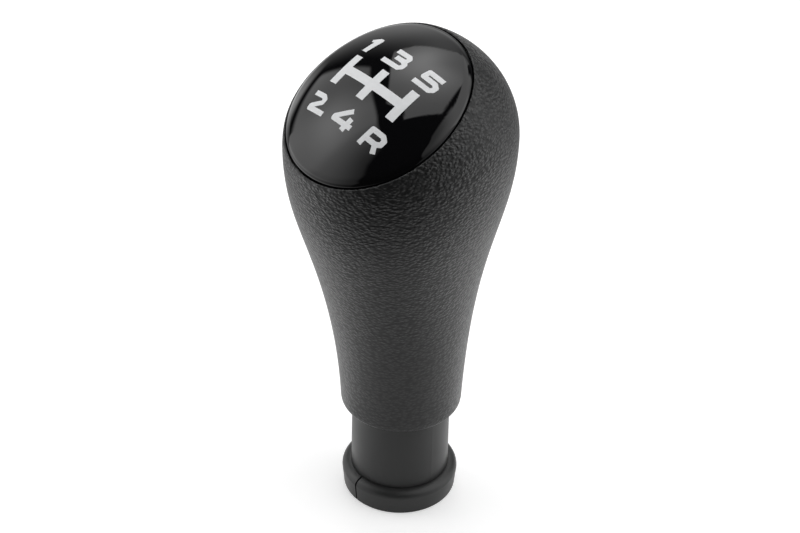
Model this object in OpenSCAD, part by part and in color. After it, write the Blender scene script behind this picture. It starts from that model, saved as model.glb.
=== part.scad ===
// Gear shift knob for a manual gearbox.
// A soft grip is moulded round a hard core. The core's lower end is the smooth collar tube,
// and a metal insert inside it takes the threaded end of the gear lever. A split ring at the
// foot of the collar holds the gaiter. A domed gloss cap is studded into the core's sloping
// head, and the shift pattern is set flush in the cap.
// The origin is the centre of the gaiter ring's bottom face. +Z runs up the lever, and
// +Y points forward in the car, so that the cap slopes down towards the driver at -Y.

/* [Grip] */
// Height of the grip's lower edge
grip_z = 24; // [21:0.5:28]
// Diameter of the grip at its lower edge
neck_d = 26.6; // [25.5:0.1:29]
// Rounding of the grip's lower edge
neck_round = 0.8; // [0.3:0.1:1.2]
// How far the neck's side leans out, which sets its taper
neck_flare = 2; // [1:0.1:3]
// How far up the neck keeps its own taper
neck_pull = 45; // [36:1:46]
// How far below the widest section the shoulder swells
shoulder_pull = 19; // [12:1:22]
// Width of the head across the car
head_w = 46; // [42:0.2:50]
// Length of the head along the car
head_l = 50.8; // [46:0.2:56]
// Height of the head's widest section
head_z = 93; // [88:0.5:96]
// Squareness of the head's section, where 2 is an ellipse
head_square = 2.05; // [2:0.05:2.6]
// How far the head is set back towards the driver
head_back = 1.5; // [0:0.1:3]
// Height over which the round neck turns into the head's section
morph_h = 59; // [50:1:64]
// Height of the full crown above the widest section
crown_h = 24.4; // [23:0.2:28]
// Squareness of the crown's side, where 2 is an ellipse
crown_square = 1.95; // [1.8:0.05:2.4]

/* [Cap] */
// Height of the cap's parting plane on the lever's axis
cap_z = 107.8; // [106:0.1:110]
// Slope of the cap towards the driver, in degrees
cap_tilt = 27.4; // [22:0.1:30]
// Rise of the dome above the parting plane
dome_rise = 6; // [4:0.1:7]
// Fullness of the dome, where higher is flatter on top
dome_full = 2.2; // [2:0.1:3]
// Rounding of the cap's edge
cap_round = 1.2; // [0.6:0.1:1.6]
// Depth of the cap's rim below the parting plane
cap_rim = 2.4; // [1.6:0.1:3]
// Wall of the cap
cap_wall = 2; // [1.5:0.1:2.4]
// Running gap between the cap and the grip's lip
cap_gap = 0.3; // [0.2:0.05:0.6]
// Height of the cap's edge above the grip's lip
cap_step = 0.9; // [0.4:0.1:1.2]
// Width of the grip's lip round the cap
lip_w = 0.3; // [0.25:0.05:0.8]
// Rounding of the lip's outer edge
lip_round = 0.2; // [0.1:0.05:0.2]
// Diameter of the studs under the cap
stud_d = 3.2; // [2.4:0.1:4]
// Length of the studs below the cap's rim
stud_l = 4.5; // [3:0.1:5]
// Spacing of the studs across the cap
stud_x = 22; // [18:0.5:24]
// Spacing of the studs along the cap
stud_y = 18; // [14:0.5:22]
// Clearance round a stud in its hole
stud_gap = 0.05; // [0.02:0.01:0.2]

/* [Shift pattern] */
// Depth of the pattern's inlay in the cap
inlay_d = 0.5; // [0.3:0.1:0.8]
// Distance between neighbouring gates
gate_pitch = 8.85; // [8:0.05:9.4]
// Length of a gate's line
gate_l = 8; // [6:0.1:9]
// Width of the gate lines
gate_w = 2.1; // [1.4:0.1:2.6]
// Place of the gate lines' middle above the cap's centre
gate_y = 1; // [0:0.1:1.5]
// Place of the forward row of numbers above the cap's centre
front_row_y = 8.75; // [8:0.05:9.5]
// Place of the rear row of numbers below the cap's centre
rear_row_y = 8.1; // [8:0.05:9.5]
// Height of the numbers
number_h = 4.6; // [3.6:0.1:5]
// Width of the numbers' strokes
stroke_w = 1.15; // [0.8:0.05:1.4]

/* [Core] */
// Diameter of the collar tube
collar_d = 21.7; // [21:0.1:24]
// Depth of the grooves that lock the grip to the core
groove_d = 0.9; // [0.5:0.1:1.2]
// Width of a locking groove
groove_w = 4; // [3:0.5:6]
// Distance between locking grooves
groove_pitch = 14; // [12:0.5:16]
// Number of locking grooves
groove_n = 3; // [2:1:4]
// Height at which the core starts to flare into its head
flare_z = 84; // [82:0.5:88]
// Thickness of the core's head at its edge
head_plate = 3; // [2:0.1:4]

/* [Lever seat] */
// Diameter of the bore that clears the lever
lever_bore_d = 13.2; // [12.4:0.1:14]
// Height of the insert's lower face
insert_z = 46; // [40:1:52]
// Length of the insert
insert_l = 24; // [18:1:26]
// Width of the insert across its flats
insert_af = 15; // [14.5:0.1:16]
// Nominal diameter of the lever's thread
thread_d = 12; // [11.5:0.1:12.4]
// Minor diameter of the insert's thread
thread_minor_d = 10.65; // [10:0.05:11]
// Chamfer at the insert's lower mouth
thread_lead = 0.9; // [0.4:0.1:1.2]
// Width of the insert's locking groove
insert_groove_w = 3; // [2:0.5:6]
// Depth of the insert's locking groove from its corners
insert_groove_d = 1.6; // [1.2:0.1:1.9]
// Depth of the free space above the insert, for the lever's tip
insert_relief = 4; // [2:0.5:6]
// Clearance round the lever's tip above the insert
relief_gap = 0.3; // [0.1:0.1:0.6]

/* [Gaiter ring] */
// Height of the ring where it meets the collar tube
ring_h = 6.05; // [5.5:0.05:8]
// Largest diameter of the ring
ring_d = 25.8; // [24.5:0.1:28]
// Height of the ring's largest section
ring_belly_z = 4.3; // [3.6:0.1:5]
// Diameter of the ring at its bottom
ring_foot_d = 25; // [24:0.1:27]
// Rounding of the ring's bottom edge
ring_edge = 0.4; // [0.2:0.1:0.8]
// Diameter of the core's spigot inside the ring
spigot_d = 18.6; // [18:0.1:20]
// Depth to which the collar tube sits in the ring
ring_seat = 2; // [1:0.1:3]
// Clearance between the ring and the core
ring_gap = 0.05; // [0.02:0.01:0.2]
// Width of the split in the ring
split_w = 0.4; // [0.2:0.1:0.8]

/* [Hidden] */

// Points round each lofted ring, and facets on round parts
ring_n = 60;
$fn = 96;
// Rings up the grip's side, over its lip, and over the cap's dome
side_steps = 22;
lip_steps = 3;
dome_steps = 8;
hollow_steps = 4;
edge_steps = 3;
// Steps of each bisection, fine enough for a micrometre
bisect_steps = 22;
// Extra length of a cutter past the face that it opens
over = 1;

collar_r = collar_d / 2;
// Radius of the collar tube inside the ring, at most halfway from the spigot to the ring's outside
foot_r = min(collar_r, (ring_d + spigot_d) / 4);
// A ring with flat sides has to pass outside the round core that it fits
flat_side = 1 / cos(180 / ring_n);
angles = [for (i = [0 : ring_n - 1]) 360 * i / ring_n];

skin_color = [0.20, 0.20, 0.21];
core_color = [0.17, 0.17, 0.18];
gloss_color = [0.04, 0.04, 0.05];
mark_color = [0.88, 0.89, 0.90];
steel_color = [0.72, 0.70, 0.62];

// Curves

function clamp01(t) = min(1, max(0, t));
function smooth(t) = let (c = clamp01(t)) c * c * (3 - 2 * c);
function bezier3(p, t) =
    pow(1 - t, 3) * p[0] + 3 * pow(1 - t, 2) * t * p[1]
    + 3 * (1 - t) * t * t * p[2] + pow(t, 3) * p[3];
function bezier2(a, b, c, t) = (1 - t) * (1 - t) * a + 2 * t * (1 - t) * b + t * t * c;

// The grip's side, as half its width against height: a Bezier curve up to the widest
// section, and a squared ellipse over the crown

flank = [
    [neck_d / 2, grip_z],
    [neck_d / 2 + neck_flare, grip_z + neck_pull],
    [head_w / 2, head_z - shoulder_pull],
    [head_w / 2, head_z]
];

function flank_t(z, lo = 0, hi = 1, n = bisect_steps) =
    let (mid = (lo + hi) / 2)
    n == 0 ? mid
    : bezier3(flank, mid)[1] < z ? flank_t(z, mid, hi, n - 1)
    : flank_t(z, lo, mid, n - 1);

function squared(u, e) = pow(1 - pow(clamp01(u), e), 1 / e);

function half_width(z) =
    z <= head_z ? bezier3(flank, flank_t(z))[0]
    : head_w / 2 * squared((z - head_z) / crown_h, crown_square);

// A point of the grip's skin, at an angle round the lever and a height.
// The section turns from a circle at the neck to a squared ellipse, set back, at the head.
function skin_point(a, z) =
    let (
        k = smooth((z - grip_z) / morph_h),
        e = 2 + (head_square - 2) * k,
        bulge = pow(pow(abs(cos(a)), e) + pow(abs(sin(a)), e), -1 / e),
        rx = half_width(z),
        ry = rx * (1 + (head_l / head_w - 1) * k)
    )
    [rx * bulge * cos(a), ry * bulge * sin(a) - head_back * k, z];

// The cap's plane

// Height at which the skin crosses a plane that lies h above the parting plane
function rim_z(a, h, lo = grip_z, hi = head_z + crown_h, n = bisect_steps) =
    let (mid = (lo + hi) / 2)
    n == 0 ? mid
    : mid < cap_z + h / cos(cap_tilt) + skin_point(a, mid)[1] * tan(cap_tilt)
        ? rim_z(a, h, mid, hi, n - 1)
    : rim_z(a, h, lo, mid, n - 1);

// From the cap's plane, at a height h along its normal, to the knob's own frame
function from_cap(p, h) = [
    p[0],
    p[1] * cos(cap_tilt) - h * sin(cap_tilt),
    cap_z + p[1] * sin(cap_tilt) + h * cos(cap_tilt)
];

rim = [for (a = angles) rim_z(a, 0)];
// The skin's outline in the parting plane, and its centre
outline = [for (i = [0 : ring_n - 1])
    let (p = skin_point(angles[i], rim[i])) [p[0], p[1] / cos(cap_tilt)]];
outline_y = [for (p = outline) p[1]];
cap_centre = [0, (min(outline_y) + max(outline_y)) / 2];

// An outline moved in by d, square to its own edge
function inset(pts, d) = [for (i = [0 : len(pts) - 1])
    let (
        n = len(pts),
        run = pts[(i + 1) % n] - pts[(i + n - 1) % n]
    )
    pts[i] - d * [run[1], -run[0]] / norm(run)];

// An outline shrunk to a share q of its size about the cap's centre
function shrunk(pts, q) = [for (p = pts) cap_centre + q * (p - cap_centre)];

head_line = inset(outline, lip_w);
cap_line = inset(outline, lip_w + cap_gap);
cap_inner_line = inset(cap_line, cap_wall);

module in_cap_frame() {
    translate([0, 0, cap_z]) rotate([cap_tilt, 0, 0]) children();
}

// A closed skin over a stack of rings with the same number of points, which ends in flat
// faces, or runs round from the last ring to the first. Two skins that share rings but
// stack them the other way round meet face to face if one of them is turned.
module loft(rings, closed = false, turned = false) {
    n = len(rings[0]);
    m = len(rings);
    spans = closed ? m : m - 1;
    sides = [for (j = [0 : spans - 1], i = [0 : n - 1])
        let (
            a = j * n + i,
            b = j * n + (i + 1) % n,
            c = (j + 1) % m * n + (i + 1) % n,
            d = (j + 1) % m * n + i
        )
        each turned ? [[a, d, b], [b, d, c]] : [[a, d, c], [a, c, b]]];
    ends = closed ? [] : [
        [for (i = [0 : n - 1]) i],
        [for (i = [n - 1 : -1 : 0]) (m - 1) * n + i]
    ];
    polyhedron([for (r = rings) each r], concat(sides, ends), convexity = 8);
}

// Core

// Half profile of the core's trunk above the collar, with grooves that lock the grip
groove_z0 = grip_z + groove_pitch / 2;
trunk_profile = [
    [collar_r, grip_z],
    for (i = [0 : groove_n - 1])
        let (z = groove_z0 + i * groove_pitch)
        each [
            [collar_r, z],
            [collar_r - groove_d, z + groove_d],
            [collar_r - groove_d, z + groove_w - groove_d],
            [collar_r, z + groove_w]
        ],
    [collar_r, flare_z]
];

function circle_ring(r, z) = [for (a = angles) [r * cos(a), r * sin(a), z]];
head_under = [for (p = head_line) from_cap(p, -cap_rim - head_plate)];
head_top = [for (p = head_line) from_cap(p, -cap_rim)];

module stud_places() {
    for (x = [-1, 1], y = [-1, 1])
        translate([x * stud_x / 2, cap_centre[1] + y * stud_y / 2, 0]) children();
}

// The insert's outside: a hexagon bar with one groove, which locks it in the core
module insert_form() {
    corner_r = insert_af / 2 / cos(30);
    difference() {
        translate([0, 0, insert_z]) cylinder(r = corner_r, h = insert_l, $fn = 6);
        translate([0, 0, insert_z + (insert_l - insert_groove_w) / 2])
            difference() {
                cylinder(r = corner_r + over, h = insert_groove_w);
                translate([0, 0, -over])
                    cylinder(r = corner_r - insert_groove_d, h = insert_groove_w + 2 * over);
            }
    }
}

module core() {
    color(core_color) difference() {
        union() {
            rotate_extrude()
                polygon([
                    [0, 0],
                    [spigot_d / 2, 0],
                    [spigot_d / 2, ring_h - ring_seat],
                    [foot_r, ring_h - ring_seat],
                    [foot_r, ring_h],
                    [collar_r, ring_h + collar_r - foot_r],
                    each trunk_profile,
                    [0, flare_z]
                ]);
            loft([circle_ring(collar_r * flat_side, flare_z), head_under, head_top],
                turned = true);
        }
        translate([0, 0, -over]) cylinder(d = lever_bore_d, h = insert_z + over);
        insert_form();
        translate([0, 0, insert_z + insert_l])
            cylinder(d = thread_d + 2 * relief_gap, h = insert_relief);
        in_cap_frame() stud_places()
            translate([0, 0, -cap_rim - stud_l - over])
                cylinder(d = stud_d + 2 * stud_gap, h = stud_l + 2 * over);
    }
}

module lever_insert() {
    color(steel_color) difference() {
        insert_form();
        translate([0, 0, insert_z - over])
            cylinder(d = thread_minor_d, h = insert_l + 2 * over);
        translate([0, 0, insert_z])
            cylinder(d1 = thread_minor_d + 2 * thread_lead, d2 = thread_minor_d, h = thread_lead);
    }
}

// Grip

// Rings from the lower edge, up the skin, over the lip and down along the core
module grip() {
    foot = [for (i = [0 : edge_steps])
        let (a = 90 * i / edge_steps)
        circle_ring(neck_d / 2 - neck_round * (1 - sin(a)), grip_z + neck_round * (1 - cos(a)))];
    low_z = grip_z + neck_round;
    lip_low = [for (a = angles) skin_point(a, rim_z(a, -lip_round))];
    side = [for (j = [1 : side_steps])
        [for (i = [0 : ring_n - 1])
            skin_point(angles[i], low_z + (lip_low[i][2] - low_z) * j / side_steps)]];
    lip_corner = [for (p = outline) from_cap(p, 0)];
    lip_top = [for (p = inset(outline, lip_round)) from_cap(p, 0)];
    lip = [for (j = [1 : lip_steps])
        [for (i = [0 : ring_n - 1])
            bezier2(lip_low[i], lip_corner[i], lip_top[i], j / lip_steps)]];
    wall_top = [for (p = head_line) from_cap(p, 0)];
    top = len(trunk_profile) - 1;
    trunk = [for (j = [top : -1 : 0])
        circle_ring(trunk_profile[j][0] * flat_side, trunk_profile[j][1])];
    color(skin_color)
        loft(concat(foot, side, lip, [wall_top, head_top, head_under], trunk), closed = true);
}

// Cap

function dome_h(q) = cap_step + (dome_rise - cap_step) * (1 - pow(q, dome_full));

// Shares of the cap's size at which its rounded edge starts and its hollow's roof ends
cap_r = min([for (p = cap_line) norm(p - cap_centre)]);
edge_q = 1 - cap_round / cap_r;
roof_q = edge_q - cap_wall / cap_r;

// Rings from the middle of the dome out to a share of its size, lowered by a depth
function dome_rings(drop, end_q = edge_q, steps = dome_steps) = [for (j = [1 : steps])
    let (q = end_q * j / steps)
    [for (p = shrunk(cap_line, q)) [p[0], p[1], dome_h(q) - drop]]];

// The dome's outer skin, from the rim up, with the rounded edge
dome_skin = concat(
    [[for (p = cap_line) [p[0], p[1], -cap_rim]]],
    [for (j = [edge_steps : -1 : 1])
        [for (i = [0 : ring_n - 1])
            let (inner = shrunk(cap_line, edge_q)[i])
            bezier2(
                [inner[0], inner[1], dome_h(edge_q)],
                [cap_line[i][0], cap_line[i][1], dome_h(1)],
                [cap_line[i][0], cap_line[i][1], dome_h(1) - cap_round],
                j / edge_steps
            )]],
    [for (j = [dome_steps : -1 : 1]) dome_rings(0)[j - 1]]
);

module cap_solid() {
    loft(dome_skin);
}

// Everything that lies above the dome's skin once it is lowered by a depth
module above_dome(drop) {
    loft(concat(
        dome_rings(drop),
        [[for (p = shrunk(cap_line, edge_q)) [p[0], p[1], dome_rise + over]]]
    ));
}

module cap_hollow() {
    roof = dome_rings(cap_wall, roof_q, hollow_steps);
    loft(concat(
        [for (h = [-cap_rim - over, cap_step - cap_wall])
            [for (p = cap_inner_line) [p[0], p[1], h]]],
        [for (j = [hollow_steps : -1 : 1]) roof[j - 1]]
    ));
}

module cap() {
    color(gloss_color) in_cap_frame() difference() {
        union() {
            difference() {
                cap_solid();
                cap_hollow();
            }
            stud_places() translate([0, 0, -cap_rim - stud_l]) {
                cylinder(d = stud_d, h = stud_l + cap_rim + cap_wall);
            }
        }
        intersection() {
            marks();
            above_dome(inlay_d);
        }
    }
}

// Shift pattern

module line(a, b, w) {
    run = b - a;
    side = w / 2 * [-run[1], run[0]] / norm(run);
    polygon([a + side, a - side, b - side, b + side]);
}

// A pen stroke through points on the numbers' grid, with round bends and square ends
module stroke(grid_pts, w = stroke_w) {
    pts = grid_unit * grid_pts;
    for (i = [0 : len(pts) - 2]) line(pts[i], pts[i + 1], w);
    for (i = [1 : len(pts) - 2]) translate(pts[i]) circle(d = w, $fn = 24);
}

gate_x = [-gate_pitch, 0, gate_pitch];

module gates() {
    for (x = gate_x) line([x, gate_y - gate_l / 2], [x, gate_y + gate_l / 2], gate_w);
    line([gate_x[0], gate_y], [gate_x[2], gate_y], gate_w);
}

// Each number is drawn about its gate's line, on a grid with grid_n units to its height
grid_n = 4.6;
grid_unit = number_h / grid_n;

module one() {
    polygon(grid_unit * [[-1.2, -2.3], [0.25, -2.3], [1.15, 1.8], [0.9, 2.3], [0, 2.3],
        [-1.75, 1.2], [-1.5, 0.6], [-0.7, 0.6]]);
}

module two() {
    stroke([[-2, 1.7], [1, 1.7], [1.8, 1.15], [1.75, 0.35], [-0.8, -1.2], [-0.8, -1.7],
        [3.9, -1.7]]);
}

module three() {
    stroke([[-2.4, 1.72], [1.1, 1.72], [1.6, 1.3], [1.5, 0.65], [1, 0.2], [-1.35, 0.2]]);
    stroke([[0.9, 0.2], [1.9, -0.35], [1.9, -1.05], [1.2, -1.72], [-3.6, -1.72]]);
}

module four() {
    stroke([[1.45, 2.25], [-1.85, -0.55], [-1.85, -0.95], [3.4, -0.95]]);
    stroke([[2.2, 0.75], [1.7, -2.3]], 1.1 * stroke_w);
}

module five() {
    stroke([[2.15, 1.65], [-1.65, 1.65], [-1.9, 0.15], [1.2, 0.15], [2, -0.45], [1.95, -1.15],
        [1.3, -1.77], [-2.9, -1.77]]);
}

module reverse() {
    stroke([[-1.9, -2.3], [-1.2, 1.72], [1.6, 1.72], [2.35, 1.1], [2.2, 0.1], [1.3, -0.5],
        [-1.4, -0.5]]);
    stroke([[1.1, -0.5], [1.9, -2.3]]);
}

module number(column, row_y) {
    translate([gate_x[column], row_y]) children();
}

module numbers() {
    number(0, front_row_y) one();
    number(1, front_row_y) three();
    number(2, front_row_y) five();
    number(0, -rear_row_y) two();
    number(1, -rear_row_y) four();
    number(2, -rear_row_y) reverse();
}

// The whole pattern as upright prisms that pass through the dome
module prisms() {
    translate([cap_centre[0], cap_centre[1], -cap_rim])
        linear_extrude(cap_rim + dome_rise + over / 2) children();
}

module marks() {
    prisms() gates();
    prisms() numbers();
}

module inlay() {
    color(mark_color) in_cap_frame() difference() {
        intersection() {
            prisms() children();
            above_dome(inlay_d);
        }
        above_dome(0);
    }
}

module gate_lines() {
    inlay() gates();
}

module gear_numbers() {
    inlay() numbers();
}

// Gaiter ring

function arc(centre, rx, ry, from, to, n) = [for (i = [0 : n])
    let (a = from + (to - from) * i / n)
    centre + [rx * cos(a), ry * sin(a)]];

module gaiter_ring() {
    bore_r = spigot_d / 2 + ring_gap;
    seat_r = foot_r + ring_gap;
    seat_z = ring_h - ring_seat;
    shoulder = [ring_d / 2 - seat_r, ring_h - ring_belly_z];
    color(core_color) difference() {
        rotate_extrude()
            polygon(concat(
                [[bore_r, 0]],
                arc([ring_foot_d / 2 - ring_edge, ring_edge], ring_edge, ring_edge, -90, 0, 6),
                arc([seat_r, ring_belly_z], shoulder[0], shoulder[1], 0, 90, 12),
                [[seat_r, seat_z], [bore_r, seat_z]]
            ));
        translate([-split_w / 2, -ring_d / 2 - over, -over])
            cube([split_w, ring_d / 2 + over, ring_h + 2 * over]);
    }
}

grip();
core();
lever_insert();
gaiter_ring();
cap();
gate_lines();
gear_numbers();
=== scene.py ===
import math

import bpy
import numpy as np
from mathutils import Matrix, Vector


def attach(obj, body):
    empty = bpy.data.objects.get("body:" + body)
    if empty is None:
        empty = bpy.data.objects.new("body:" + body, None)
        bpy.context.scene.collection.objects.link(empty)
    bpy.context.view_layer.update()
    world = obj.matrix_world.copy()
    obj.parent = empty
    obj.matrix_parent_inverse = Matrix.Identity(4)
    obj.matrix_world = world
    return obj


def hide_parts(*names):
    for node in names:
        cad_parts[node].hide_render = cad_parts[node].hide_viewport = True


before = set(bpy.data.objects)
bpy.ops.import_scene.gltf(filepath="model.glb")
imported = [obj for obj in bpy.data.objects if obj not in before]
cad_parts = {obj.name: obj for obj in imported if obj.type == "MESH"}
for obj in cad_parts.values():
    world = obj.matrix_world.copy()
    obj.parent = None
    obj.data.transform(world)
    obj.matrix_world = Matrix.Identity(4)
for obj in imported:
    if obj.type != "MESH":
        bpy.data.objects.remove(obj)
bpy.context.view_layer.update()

MM = 0.001

# Grip: the flank's curve, the squared head and its crown
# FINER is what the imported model's coarser facets cut off the widest section.
FINER = 0.024
GRIP_Z = 24.0
NECK_D = 26.6
NECK_ROUND = 0.8
NECK_FLARE = 2.0
NECK_PULL = 45.0
SHOULDER_PULL = 19.0
HEAD_W = 46.0 - FINER
HEAD_L = 50.8 - FINER
HEAD_Z = 93.0
HEAD_SQUARE = 2.05
HEAD_BACK = 1.5
MORPH_H = 59.0
CROWN_H = 24.4
CROWN_SQUARE = 1.95

# Cap
CAP_Z = 107.8
CAP_TILT = math.radians(27.4)
DOME_RISE = 6.0
DOME_FULL = 2.2
CAP_ROUND = 1.2
CAP_RIM = 2.4
CAP_WALL = 2.0
CAP_GAP = 0.3
CAP_STEP = 0.9
LIP_W = 0.3
LIP_ROUND = 0.2
STUD_D = 3.2
STUD_L = 4.5
STUD_X = 22.0
STUD_Y = 18.0

# Shift pattern, on the cap's plane from its centre
INLAY_D = 0.5
PRINT_PROUD = 0.02
PRISM_OVER = 1.0
GATE_PITCH = 8.85
GATE_L = 8.0
GATE_W = 2.1
GATE_Y = 1.0
FRONT_ROW_Y = 8.75
REAR_ROW_Y = 8.1
STROKE_W = 1.15
STEM_W = 1.1 * STROKE_W

# Core, insert and ring
COLLAR_D = 21.7
GROOVE_D = 0.9
GROOVE_W = 4.0
GROOVE_PITCH = 14.0
GROOVE_N = 3
FLARE_Z = 84.0
HEAD_PLATE = 3.0
INSERT_Z = 46.0
INSERT_L = 24.0
INSERT_AF = 15.0
INSERT_GROOVE_W = 3.0
INSERT_GROOVE_D = 1.6
THREAD_D = 12.0
THREAD_MINOR_D = 10.65
THREAD_PITCH = 1.25
THREAD_LEAD = 0.9
THREAD_FLAT = 0.15
RING_H = 6.05
RING_D = 25.8
RING_BELLY_Z = 4.3
RING_FOOT_D = 25.0
RING_EDGE = 0.4
RING_SEAT = 2.0
RING_GAP = 0.05
SPIGOT_D = 18.6
SPLIT_W = 0.4

# Fineness of the meshes
GRIP_AROUND = 320
GRIP_RINGS = 210
CAP_AROUND = 240
DOME_RINGS = 48
HOLLOW_RINGS = 10
EDGE_RINGS = 8
SHOULDER_RINGS = 24
PRINT_RINGS = 28
BEND_SIDES = 32
RING_AROUND = 256
THREAD_AROUND = 72
THREAD_STEPS_A_TURN = 8
BISECT_STEPS = 40
SMOOTH_ANGLE = math.radians(32)

# Camera and studio, measured on the photograph with the knob standing at the origin
CAMERA_AZIMUTH = math.radians(48.99)
CAMERA_ELEVATION = math.radians(36.36)
CAMERA_ROLL = math.radians(1.23)
CAMERA_DISTANCE = 0.6
CAMERA_LENS = 125.8
SENSOR_WIDTH = 36.0
CAMERA_CLIP = (0.01, 20)
AIM_HEIGHT = 59.39 * MM
AIM_LEFT = 0.83 * MM


# Curves


def smooth(t):
    t = np.clip(t, 0, 1)
    return t * t * (3 - 2 * t)


def bezier2(a, b, c, t):
    return (1 - t) ** 2 * a + 2 * t * (1 - t) * b + t * t * c


def bezier3(p, t):
    first_half = (1 - t) ** 3 * p[0] + 3 * (1 - t) ** 2 * t * p[1]
    return first_half + 3 * (1 - t) * t * t * p[2] + t**3 * p[3]


def bisect(below, lo, hi):
    """Where below() turns from true to false between lo and hi, for a whole array at once."""
    for _ in range(BISECT_STEPS):
        mid = (lo + hi) / 2
        under = below(mid)
        lo = np.where(under, mid, lo)
        hi = np.where(under, hi, mid)
    return (lo + hi) / 2


FLANK_R = [NECK_D / 2, NECK_D / 2 + NECK_FLARE, HEAD_W / 2, HEAD_W / 2]
FLANK_Z = [GRIP_Z, GRIP_Z + NECK_PULL, HEAD_Z - SHOULDER_PULL, HEAD_Z]


def half_width(z):
    """Half the grip's width at a height: a Bezier flank below, a squared ellipse over the crown."""
    t = bisect(lambda m: bezier3(FLANK_Z, m) < z, np.zeros_like(z), np.ones_like(z))
    u = np.clip((z - HEAD_Z) / CROWN_H, 0, 1)
    crown = HEAD_W / 2 * (1 - u**CROWN_SQUARE) ** (1 / CROWN_SQUARE)
    return np.where(z <= HEAD_Z, bezier3(FLANK_R, t), crown)


def skin_point(a, z):
    """The skin's point at an angle round the lever and a height, for arrays of both."""
    k = smooth((z - GRIP_Z) / MORPH_H)
    e = 2 + (HEAD_SQUARE - 2) * k
    bulge = (np.abs(np.cos(a)) ** e + np.abs(np.sin(a)) ** e) ** (-1 / e)
    rx = half_width(z)
    ry = rx * (1 + (HEAD_L / HEAD_W - 1) * k)
    return np.stack([rx * bulge * np.cos(a), ry * bulge * np.sin(a) - HEAD_BACK * k, z], -1)


def angles(n):
    return 2 * math.pi * np.arange(n) / n


def rim_z(a, h):
    """Height at which the skin crosses the plane that lies h above the cap's parting plane."""

    def below(z):
        return z < CAP_Z + h / math.cos(CAP_TILT) + skin_point(a, z)[..., 1] * math.tan(CAP_TILT)

    return bisect(below, np.full_like(a, GRIP_Z), np.full_like(a, HEAD_Z + CROWN_H))


def from_cap(p, h):
    """From the cap's own plane, at a height h along its normal, to the knob's frame."""
    c, s = math.cos(CAP_TILT), math.sin(CAP_TILT)
    return np.stack([p[..., 0], p[..., 1] * c - h * s, CAP_Z + p[..., 1] * s + h * c], -1)


CAP_FRAME = (
    Matrix.Translation((0, 0, CAP_Z * MM))
    @ Matrix.Rotation(CAP_TILT, 4, "X")
    @ Matrix.Scale(MM, 4)
)


def rim_outline(n):
    p = skin_point(angles(n), rim_z(angles(n), 0))
    return np.stack([p[:, 0], p[:, 1] / math.cos(CAP_TILT)], -1)


def inset(pts, d):
    """An outline moved in by d, square to its own edge."""
    run = np.roll(pts, -1, 0) - np.roll(pts, 1, 0)
    side = np.stack([run[:, 1], -run[:, 0]], -1) / np.linalg.norm(run, axis=1)[:, None]
    return pts - d * side


CAP_OUTLINE = rim_outline(CAP_AROUND)
CAP_CENTRE = np.array([0, (CAP_OUTLINE[:, 1].min() + CAP_OUTLINE[:, 1].max()) / 2])
CAP_LINE = inset(CAP_OUTLINE, LIP_W + CAP_GAP)
CAP_R = np.linalg.norm(CAP_LINE - CAP_CENTRE, axis=1).min()
EDGE_Q = 1 - CAP_ROUND / CAP_R
ROOF_Q = EDGE_Q - CAP_WALL / CAP_R


def shrunk(pts, q):
    return CAP_CENTRE + q * (pts - CAP_CENTRE)


def dome_h(q):
    return CAP_STEP + (DOME_RISE - CAP_STEP) * (1 - q**DOME_FULL)


def at_height(pts, h):
    """Points of the cap's own plane, at a height h above it."""
    return np.column_stack([pts, np.full(len(pts), float(h))])


def on_dome(q, drop):
    """The ring at a share q of the cap's outline, on the dome's skin lowered by drop."""
    return at_height(shrunk(CAP_LINE, q), dome_h(q) - drop)


def at_centre(h):
    return (*CAP_CENTRE, h)


def dome_shares(steps, end=EDGE_Q):
    return end * np.arange(1, steps + 1) / steps


# Meshes


def link_object(name, data):
    obj = bpy.data.objects.new(name, data)
    bpy.context.scene.collection.objects.link(obj)
    return obj


def make_object(name, verts, faces, slot, placed=Matrix.Scale(MM, 4)):
    """A visible piece from points in millimetres, which placed brings to the frame's metres."""
    mesh = bpy.data.meshes.new(name)
    mesh.from_pydata(np.asarray(verts).tolist(), [], faces)
    mesh.transform(placed)
    mesh.update()
    return finish_object(name, mesh)


def finish_object(name, mesh):
    mesh.shade_smooth()
    mesh.set_sharp_from_angle(angle=SMOOTH_ANGLE)
    obj = link_object(name, mesh)
    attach(obj, "root")
    return obj


def side_faces(rows, n, start=0, closed=False):
    """Quads between neighbouring rings of n points; closed joins the last ring to the first."""
    faces = []
    for j in range(rows if closed else rows - 1):
        low, high = start + j * n, start + (j + 1) % rows * n
        faces += [(low + i, low + (i + 1) % n, high + (i + 1) % n, high + i) for i in range(n)]
    return faces


def closed_loft(rings):
    n = len(rings[0])
    return np.concatenate(rings), side_faces(len(rings), n, closed=True)


def capped_loft(rings, low_centre, high_centre):
    """A loft that a fan of triangles closes at each end, round a point in the middle."""
    n, m = len(rings[0]), len(rings)
    verts = np.concatenate(rings + [[low_centre, high_centre]])
    faces = side_faces(m, n)
    faces += [((i + 1) % n, i, m * n) for i in range(n)]
    faces += [((m - 1) * n + i, (m - 1) * n + (i + 1) % n, m * n + 1) for i in range(n)]
    return verts, faces


def circle_ring(r, z, n):
    """A level ring of n points; r is one radius, or one for each point."""
    a = angles(n)
    return np.stack([r * np.cos(a), r * np.sin(a), np.full(n, float(z))], -1)


def trunk_profile():
    """Radius and height up the core's trunk, with the grooves that lock the grip."""
    r = COLLAR_D / 2
    points = [(r, GRIP_Z)]
    for i in range(GROOVE_N):
        z = GRIP_Z + GROOVE_PITCH / 2 + i * GROOVE_PITCH
        points += [
            (r, z),
            (r - GROOVE_D, z + GROOVE_D),
            (r - GROOVE_D, z + GROOVE_W - GROOVE_D),
            (r, z + GROOVE_W),
        ]
    return points + [(r, FLARE_Z)]


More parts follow.
